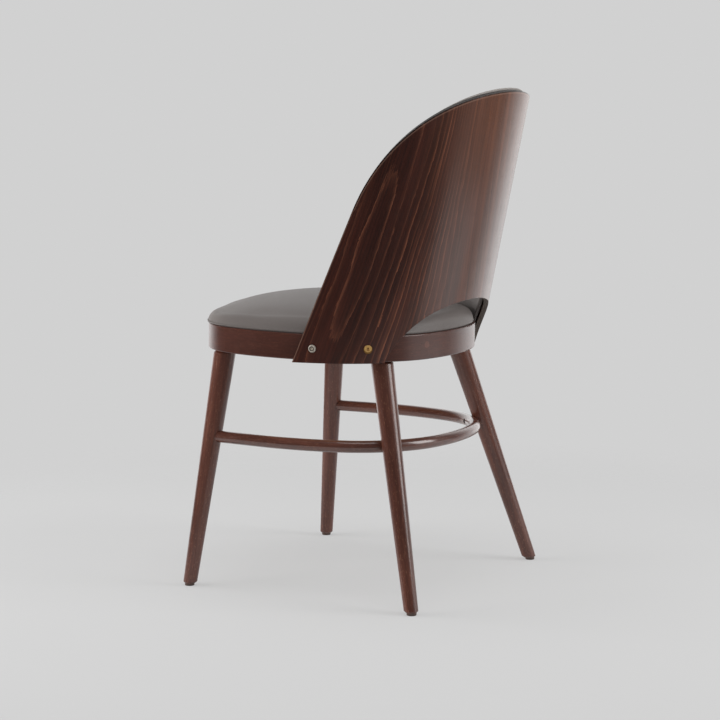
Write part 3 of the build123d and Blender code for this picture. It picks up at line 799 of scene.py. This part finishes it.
def inflate(piece, pressure, smooth):
    # cloth under pressure with the held points fixed; no point moves further than its own cap
    mesh, frames = piece.data, stuffing["frames"]
    held, cap = recall(mesh, "held"), recall(mesh, "cap")
    start = positions(mesh)
    group = piece.vertex_groups.new(name="held")
    group.add([int(i) for i in np.flatnonzero(held > 0.5)], 1.0, "REPLACE")
    cloth = piece.modifiers.new("stuffing", "CLOTH")
    settings = cloth.settings
    settings.quality = stuffing["quality"]
    settings.mass = stuffing["mass"]
    settings.tension_stiffness = settings.compression_stiffness = stuffing["stretch"]
    settings.bending_stiffness = stuffing["bending"]
    settings.use_pressure = True
    settings.uniform_pressure_force = pressure
    settings.vertex_group_mass = "held"
    settings.effector_weights.gravity = 0.0
    cloth.collision_settings.use_collision = False
    cloth.point_cache.frame_start, cloth.point_cache.frame_end = 1, frames
    for step in range(1, frames + 1):
        scene.frame_set(step)
    solved = piece.evaluated_get(bpy.context.evaluated_depsgraph_get())
    move = positions(solved.data) - start
    length = np.linalg.norm(move, axis=1)
    move = move * (cap * np.tanh(length / cap) / np.maximum(length, 1e-9))[:, None]
    edges = np.empty(len(mesh.edges) * 2, np.int32)
    mesh.edges.foreach_get("vertices", edges)
    one, other = edges.reshape(-1, 2).T
    count = np.bincount(edges, minlength=len(start))[:, None]
    for _ in range(smooth):    # evens out the pleats: each move halfway to the mean of its neighbours
        total = np.zeros_like(move)
        np.add.at(total, one, move[other])
        np.add.at(total, other, move[one])
        move = np.where(held[:, None] > 0.5, 0.0, 0.5 * move + 0.5 * total / count)
    piece.modifiers.remove(cloth)
    piece.vertex_groups.remove(group)
    scene.frame_set(1)
    mesh.vertices.foreach_set("co", (start + move).ravel())
    mesh.update()
    swell, kept = 1000 * length.max(), 1000 * np.linalg.norm(move, axis=1).max()
    print(piece.name, f"swells by {swell:.1f} mm, kept to {kept:.1f}")


def addSoft(mesh, values, fill, *stands):
    # one padded piece in the place of its foam and its cover
    piece = bpy.data.objects.new(mesh.name, mesh)
    scene.collection.objects.link(piece)
    inflate(piece, values["pressure"], values["smooth"])
    mesh.shade_smooth()
    rounding = piece.modifiers.new("rounding", "SUBSURF")
    rounding.levels = rounding.render_levels = 1
    mesh.materials.append(leatherette)
    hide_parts(*stands)
    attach(piece, "root")


cushion = {
    "halfWidth": 0.224, "frontReach": 0.163, "frontCorner": 0.104,
    "rearReach": 0.2545, "rearCorner": 0.170, "widestY": -0.048, "sideInset": 0.0022,
    "crest": 0.052, "domeRadius": 0.869, "topRadius": 0.019, "bottomRadius": 0.004,
    "boardInset": 0.0087, "boardTop": 0.0105, "turnUnder": 0.024, "cover": 0.0011,
    "lift": 0.0001,         # underside over the ring's top
    "coreInset": 0.085,     # rows further in shrink towards the middle
    "slack": 0.0035,        # how much lower the unstuffed cover starts
    "sideRows": (0.33, 0.7),  # heights of the two side rows as shares of the side
    "around": 240, "roundRows": 7, "crownRows": 15, "middleRows": 21,
    "pressure": 4.0, "smooth": 30,
    "cap": (0.0018, 0.0038),  # furthest swell at the side and on the crown
    "capRows": (3, 18),     # rows above the underside between which the cap grows
}


def seatPoint(local, height):
    # seat-plane x and y with a height above the plane, tilted back by the rake
    tilt = np.radians(bend["rake"])
    x, y = local[..., 0], local[..., 1]
    return np.stack([x, bend["seatMiddleY"] + y * np.cos(tilt) + height * np.sin(tilt),
                     bend["seatZ"] - y * np.sin(tilt) + height * np.cos(tilt)], -1)


def cushionPlan(turn, inset):
    # the seat's plan of four quarters, for turns of 0 to 360 degrees
    c = cushion
    front = quarterArcs(c["halfWidth"], c["frontReach"], c["frontCorner"])
    rear = quarterArcs(c["halfWidth"], c["rearReach"], c["rearCorner"])
    turn = np.mod(turn, 360.0)
    folded = quarterFold(turn % 180.0)
    behind = turn < 180.0
    corner = np.where(behind[..., None], quarterPoint(rear, folded, inset),
                      quarterPoint(front, folded, inset))
    way = np.stack([np.where((turn > 90.0) & (turn < 270.0), -1.0, 1.0),
                    np.where(behind, 1.0, -1.0)], -1)
    return corner * way + np.array([0.0, c["widestY"]])


def domeHeight(local):
    c = cushion
    fall = np.sqrt(c["domeRadius"] ** 2 - (local ** 2).sum(-1)) - c["domeRadius"]
    return c["crest"] - c["slack"] + fall


def cushionGrid():
    # rows: a profile from the board's middle, under the edge, up and over to the crown;
    # columns: once round the plan at equal steps
    c = cushion
    dense = np.linspace(0.0, 360.0, 4001)
    length = runningLength(cushionPlan(dense, np.zeros_like(dense)))
    turn = np.interp(np.linspace(0.0, length[-1], c["around"], endpoint=False), length, dense)
    side, core, lift = c["sideInset"], c["coreInset"], c["lift"]
    low, top = c["bottomRadius"], c["topRadius"]
    quarter = np.radians(np.linspace(0.0, 90.0, c["roundRows"]))
    lowTurn = quarter[2::2]
    # under side as inset, height and share of the way out: board pocket, turned-in flange, bottom round
    under = [(core, c["boardTop"], share) for share in np.linspace(0.02, 1.0, 5)]
    under += [(0.03, c["boardTop"], 1.0), (c["boardInset"], c["boardTop"], 1.0),
              (c["boardInset"], c["cover"], 1.0), (c["turnUnder"], c["cover"], 1.0),
              (c["turnUnder"], lift, 1.0)]
    under += [(inset, lift, 1.0) for inset in np.linspace(0.020, low, 4)]
    under += list(zip(side + low - low * np.sin(lowTurn), lift + low - low * np.cos(lowTurn),
                      np.ones(len(lowTurn))))
    underInset, underHeight, underShare = np.array(under).T
    # upper side: two side rows, the round, then the crown in to the middle
    inset = np.concatenate([underInset, [side] * 2, side + top - top * np.cos(quarter),
                            np.linspace(side + top, core, c["crownRows"] + 1)[1:],
                            [core] * c["middleRows"]])
    outer = np.ones(2 + c["roundRows"] + c["crownRows"])
    share = np.concatenate([underShare, outer, np.linspace(1.0, 0.0, c["middleRows"] + 1)[1:]])
    turns, insets = np.meshgrid(turn, inset)
    local = cushionPlan(turns, insets) * share[:, None, None]
    # the crown is a sphere's cap that meets the side through the round
    height = domeHeight(local)
    brow = domeHeight(cushionPlan(turn, np.full_like(turn, side + top)))
    fixedRows = len(under)
    rounds = fixedRows + 2
    height[:fixedRows] = underHeight[:, None]
    height[fixedRows:rounds] = low + (brow - top - low) * np.array(c["sideRows"])[:, None]
    height[rounds:rounds + c["roundRows"]] = brow - top * (1 - np.sin(quarter))[:, None]
    return seatPoint(local, bend["ringHeight"] + height), fixedRows


def buildCushion():
    points, fixedRows = cushionGrid()
    mesh = gridMesh("seatCushion", points)
    rows, columns = np.arange(points.shape[0]), points.shape[1]
    cap = np.interp(rows, fixedRows + np.array(cushion["capRows"]), cushion["cap"])
    keep(mesh, "held", np.repeat(rows < fixedRows - 1, columns))
    keep(mesh, "cap", np.repeat(cap, columns))
    weld(mesh)
    addSoft(mesh, cushion, 0.9, "seat_foam", "seat_cover")
    print("seat cushion made")


backPad = {
    "shellThickness": 0.0085, "gap": 0.0003, "thickness": 0.0084,
    "edgeRound": 0.006, "backRound": 0.003,
    "wingMargin": 0.004, "proud": 0.0030, "archMargin": 0.0008,
    "frontZ": 0.464, "footZ": 0.418,   # lower edge at the wings and where it tucks in by the arch
    "footTurn": (12.0, 26.0), "leastZ": 0.40,
    "clear": 0.0009, "least": 0.0012,  # gap to the seat, and the thinnest the pad gets behind it
    "overSeat": (0.462, 0.480), "freeDepth": 0.02,
    "searchZ": (0.42, 0.86), "archStartZ": 0.46,  # where the searches for the edges begin
    "backRows": 9, "frontRows": 62, "columns": 230, "measureZ": 0.62,
    "rimRows": (0.0060, 0.0030, 0.0018, 0.0007, 0.0),  # rows of the back face below its top edge
    "rimShares": (0.08, 0.06, 0.04, 0.02, 0.0),  # and the most of the pad's height they may take
    "rimHighlightWidth": 0.0045,   # width of the painted highlight along the top of the back face
    "fullHeight": 0.02,   # pad lower than this is thinner too
    "pressure": 4.0, "smooth": 40, "cap": 0.0016,
}


def eased(value, low, high):
    share = np.clip((value - low) / (high - low), 0.0, 1.0)
    return share * share * (3 - 2 * share)


def padLimits(turn):
    # lowest and highest z of the pad on each ruling, found by halving and by repeated substitution
    p, s = backPad, shell
    low, high = [np.full_like(turn, z) for z in p["searchZ"]]
    for _ in range(44):
        middle = (low + high) / 2
        edge = rimY(middle, p["wingMargin"], -p["proud"])
        inside = shellPoint(turn, middle)[0][..., 1] > edge
        low, high = np.where(inside, middle, low), np.where(inside, high, middle)
    upper = low
    arch = quarterArcs(s["archHalfWidth"], s["archRise"], s["archCorner"])
    curve = quarterPoint(arch, np.linspace(90.0, 0.0, 900), -p["archMargin"])
    over = np.full_like(turn, p["archStartZ"])
    for _ in range(30):
        x = np.abs(shellPoint(turn, over)[0][..., 0])
        archZ = np.interp(x, curve[:, 0], curve[:, 1] + s["archBaseZ"], right=0.0)
        over = np.maximum(archZ, p["leastZ"])
    tuck = eased(quarterFold(turn), *p["footTurn"])
    foot = p["frontZ"] + (p["footZ"] - p["frontZ"]) * tuck
    return np.maximum(foot, over), upper


def roomBehindSeat(turn, z):
    # free depth between the leaning shell and the upright side of the ring and cushion
    s, p = shell, backPad
    lowPoint, normal = shellPoint(turn, np.full_like(turn, s["bottomZ"]))
    highPoint = shellPoint(turn, np.full_like(turn, s["topZ"]))[0]
    flat = normal[..., :2] / np.linalg.norm(normal[..., :2], axis=-1)[..., None]
    slope = ((highPoint - lowPoint)[..., :2] * flat).sum(-1) / (s["topZ"] - s["bottomZ"])
    room = s["offset"] - p["shellThickness"] + (z - s["bottomZ"]) * slope - p["clear"]
    return np.maximum(room, p["least"]) + eased(z, *p["overSeat"]) * p["freeDepth"]


def padGrid():
    # columns run round the pad's section, rows run from wing to wing along the back
    p = backPad
    probe = np.linspace(9.0, 90.0, 2000)
    lower, upper = padLimits(probe)
    start = probe[np.argmax(upper > lower + 0.002)]
    dense = np.linspace(start, 180.0 - start, 3001)
    length = runningLength(shellPoint(dense, np.full_like(dense, p["measureZ"]))[0])
    turn = np.interp(np.linspace(0.0, length[-1], p["columns"]), length, dense)
    lower, upper = padLimits(turn)
    lower = np.minimum(lower, upper - 0.0005)
    run = length[-1] / (p["columns"] - 1)
    steepTop = np.sqrt(1 + np.gradient(upper, run) ** 2)[:, None]
    steepLow = np.sqrt(1 + np.gradient(lower, run) ** 2)[:, None]
    tall = (upper - lower)[:, None]
    lower, upper = lower[:, None], upper[:, None]
    # section: up the back face, its rim rows, then down the front face
    s = np.linspace(0.0, 1.0, p["frontRows"])
    ease = 0.55 * s + 0.45 * (0.5 - 0.5 * np.cos(np.pi * s))
    backRows, rimRows = p["backRows"], len(p["rimRows"])
    share = np.concatenate([np.linspace(0.0, 0.9, backRows), np.ones(rimRows), ease[::-1][1:-1]])
    isFront = np.arange(len(share)) >= backRows + rimRows
    grid = lower + tall * share[None, :]
    drop = np.minimum(steepTop * np.array(p["rimRows"]), tall * np.array(p["rimShares"]))
    grid[:, backRows:backRows + rimRows] -= drop
    turns = turn[:, None] * np.ones_like(grid)
    point, normal = shellPoint(turns, grid)
    fromTop, fromLow = (upper - grid) / steepTop, (grid - lower) / steepLow
    # depth inside the shell: rounded edges in front, a small round at the top behind
    near = np.clip(np.minimum(fromTop, fromLow) / p["edgeRound"], 0.0, 1.0)
    body = p["thickness"] - p["edgeRound"] + p["edgeRound"] * np.sqrt(1 - (1 - near) ** 2)
    body = body * np.clip(tall / p["fullHeight"], 0.15, 1.0)
    body = np.minimum(body, roomBehindSeat(turns, grid))
    bow = p["backRound"]
    back = bow - np.sqrt(bow ** 2 - np.maximum(bow - fromTop, 0.0) ** 2)
    depth = np.where(isFront[None, :], body, np.minimum(back, body * 0.9))
    depth = p["shellThickness"] + p["gap"] + depth
    # painted highlight: a lighter band along the top of the back face, kept as the rim attribute
    rim = np.clip((p["rimHighlightWidth"] - fromTop) / 0.001, 0.0, 1.0)
    rim = np.where(isFront, 0.0, 1.0)[None, :] * rim
    return point - normal * depth[..., None], isFront, rim


def buildPad():
    points, isFront, rim = padGrid()
    points[0] = points[0].mean(0)
    points[-1] = points[-1].mean(0)
    mesh = gridMesh("backPad", points)
    rows, columns = points.shape[:2]
    keep(mesh, "rim", rim)
    # only the front face swells, away from its edges and from the seat
    firstFront = int(np.argmax(isFront))
    isFree = isFront.copy()
    isFree[firstFront:firstFront + 2] = False
    isFree[-2:] = False
    held = np.tile(~isFree, rows)
    held[:columns * 2] = True
    held[-columns * 2:] = True
    held |= points[..., 2].ravel() < backPad["overSeat"][1]
    keep(mesh, "held", held)
    keep(mesh, "cap", np.full(rows * columns, backPad["cap"]))
    weld(mesh)
    addSoft(mesh, backPad, 0.85, "back_foam", "back_cover")
    print("back pad made")


buildCushion()
buildPad()
